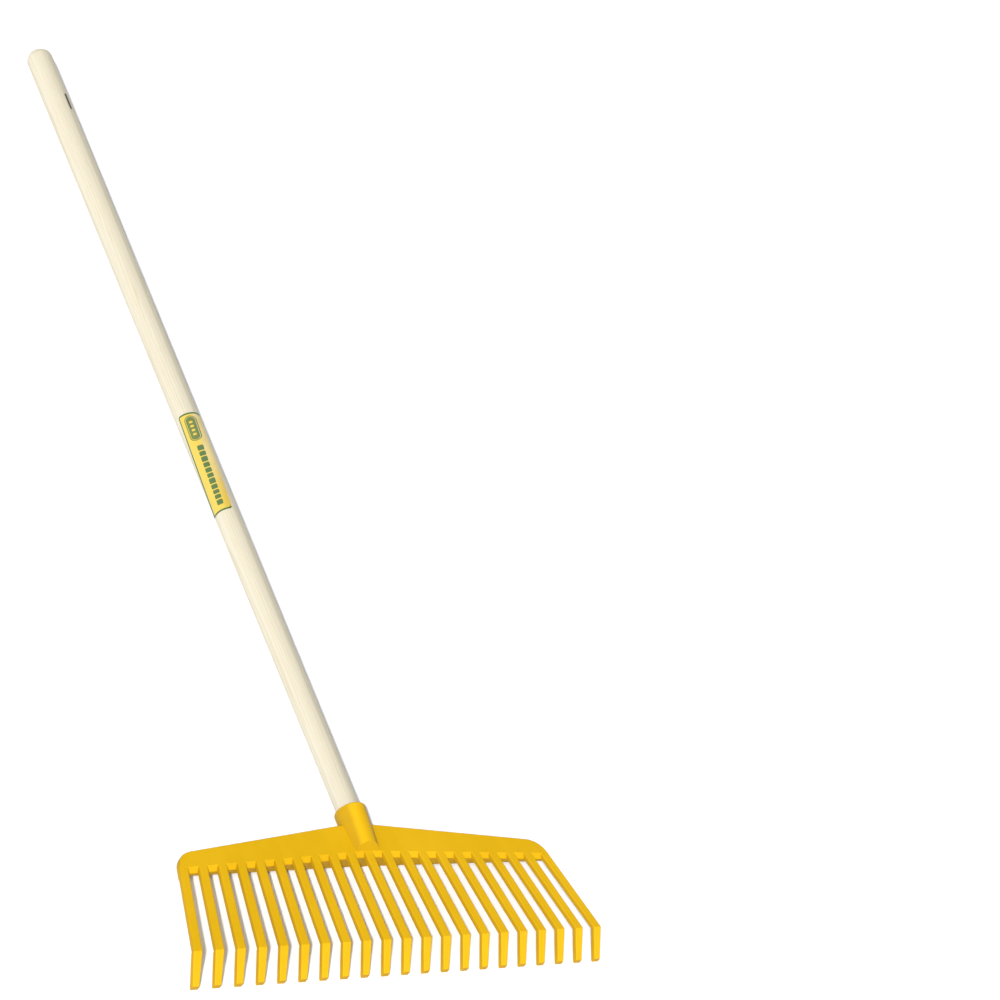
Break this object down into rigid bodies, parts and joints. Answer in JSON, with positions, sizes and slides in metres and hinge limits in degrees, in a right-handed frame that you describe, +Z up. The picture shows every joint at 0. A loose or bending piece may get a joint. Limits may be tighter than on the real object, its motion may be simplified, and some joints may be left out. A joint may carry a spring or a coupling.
{
  "type": "garden rake",
  "caption": "Wide moulded plastic garden rake with a row of bent-back tines on a long round wooden handle with a domed end.",
  "frame": {"origin": "centre of the footprint on the floor that the rake lies on, with the tine tips and the butt of the handle touching z = 0", "axes": "+Y from the head towards the butt of the handle, +X across the head, +Z up; the convex front face of the head looks up and the tines bend down to the floor"},
  "size_m": [0.5084, 1.3332, 0.0349],
  "materials": {
    "yellow_plastic": "satin moulded polypropylene",
    "handle_wood": "smooth pale hardwood with clear varnish",
    "label_film": "printed self-adhesive film",
    "screw_steel": "zinc plated"
  },
  "bodies": {
    "root": {"rake_head": "yellow_plastic", "handle": "handle_wood", "label": "label_film", "fixing_screw": "screw_steel"}
  },
  "joints": []
}
